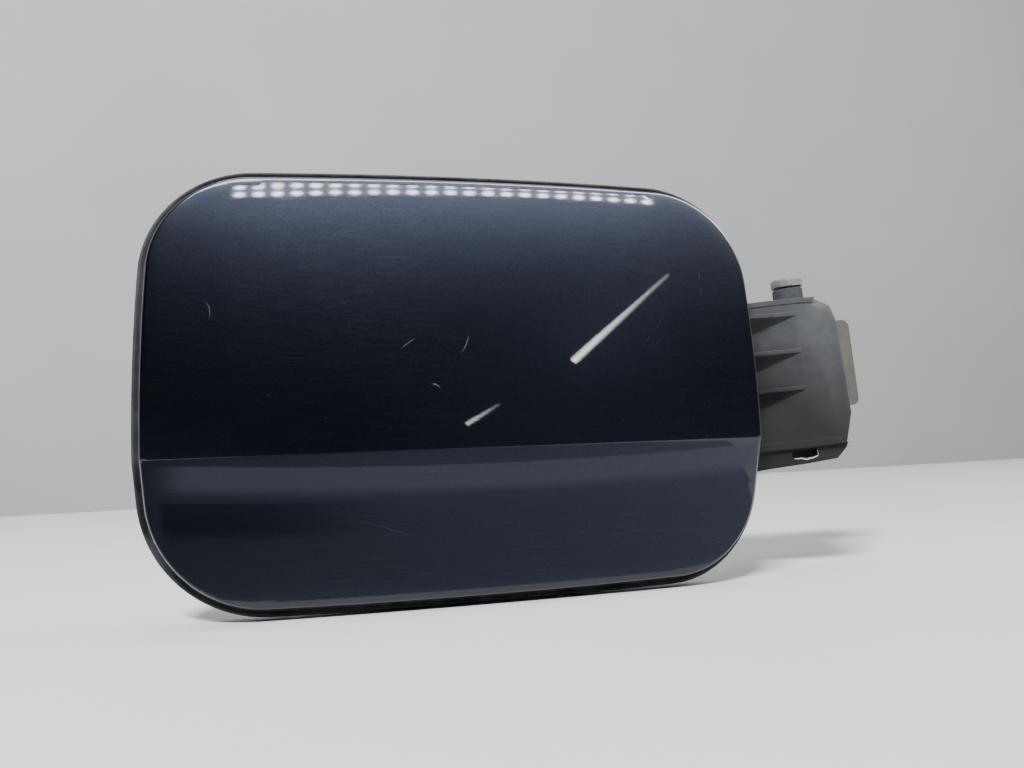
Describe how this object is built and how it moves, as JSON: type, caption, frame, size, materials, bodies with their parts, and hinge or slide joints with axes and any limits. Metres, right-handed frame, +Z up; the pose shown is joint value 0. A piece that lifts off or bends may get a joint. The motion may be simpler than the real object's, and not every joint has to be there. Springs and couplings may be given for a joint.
{
  "type": "fuel filler flap",
  "caption": "Rounded, creased car fuel filler flap in dark blue gloss paint, with a rubber edge seal, on a moulded side arm that swings on a sprung pin hinge.",
  "frame": {"origin": "between the two bolt holes, on the back face of the hinge bracket", "axes": "+X to the right seen from outside the car, +Y into the car, +Z up; the flap's face looks along -Y"},
  "size_m": [0.2728, 0.0495, 0.1416],
  "materials": {
    "paint": "deep blue-black metallic gloss",
    "panel_plastic": "moulded black",
    "seal_rubber": "matte black",
    "arm_plastic": "dusty dark grey, grained",
    "screw_steel": "zinc plated",
    "striker_plastic": "moulded black",
    "stop_rubber": "matte black",
    "bush_plastic": "natural acetal",
    "bracket_steel": "dull olive grey coating",
    "pin_coated": "dull grey coating, chipped at the head",
    "washer_plastic": "black",
    "spring_steel": "drawn wire"
  },
  "bodies": {
    "bracket": {"hinge_bracket": "bracket_steel", "hinge_pin": "pin_coated", "head_washer": "washer_plastic", "thrust_washers": "washer_plastic", "pin_clip": "spring_steel", "torsion_spring": "spring_steel", "spring_sleeve": "bush_plastic", "stop_pad": "stop_rubber"},
    "flap": {"outer_skin": "paint", "inner_panel": "panel_plastic", "edge_seal": "seal_rubber", "hinge_arm": "arm_plastic", "arm_screws": "screw_steel", "latch_striker": "striker_plastic", "striker_screws": "screw_steel", "bump_stop_upper": "stop_rubber", "bump_stop_lower": "stop_rubber", "pivot_bush_upper": "bush_plastic", "pivot_bush_lower": "bush_plastic"}
  },
  "joints": [
    {"name": "flap_hinge", "type": "hinge", "parent": "bracket", "child": "flap", "pos_m": [0.016, -0.0225, 0], "axis": [-0.075, 0, 0.9972], "range_deg": [0, 90], "stiffness_Nm_per_rad": 0.03, "springref_deg": -28.65, "deforming": ["torsion_spring"]}
  ]
}
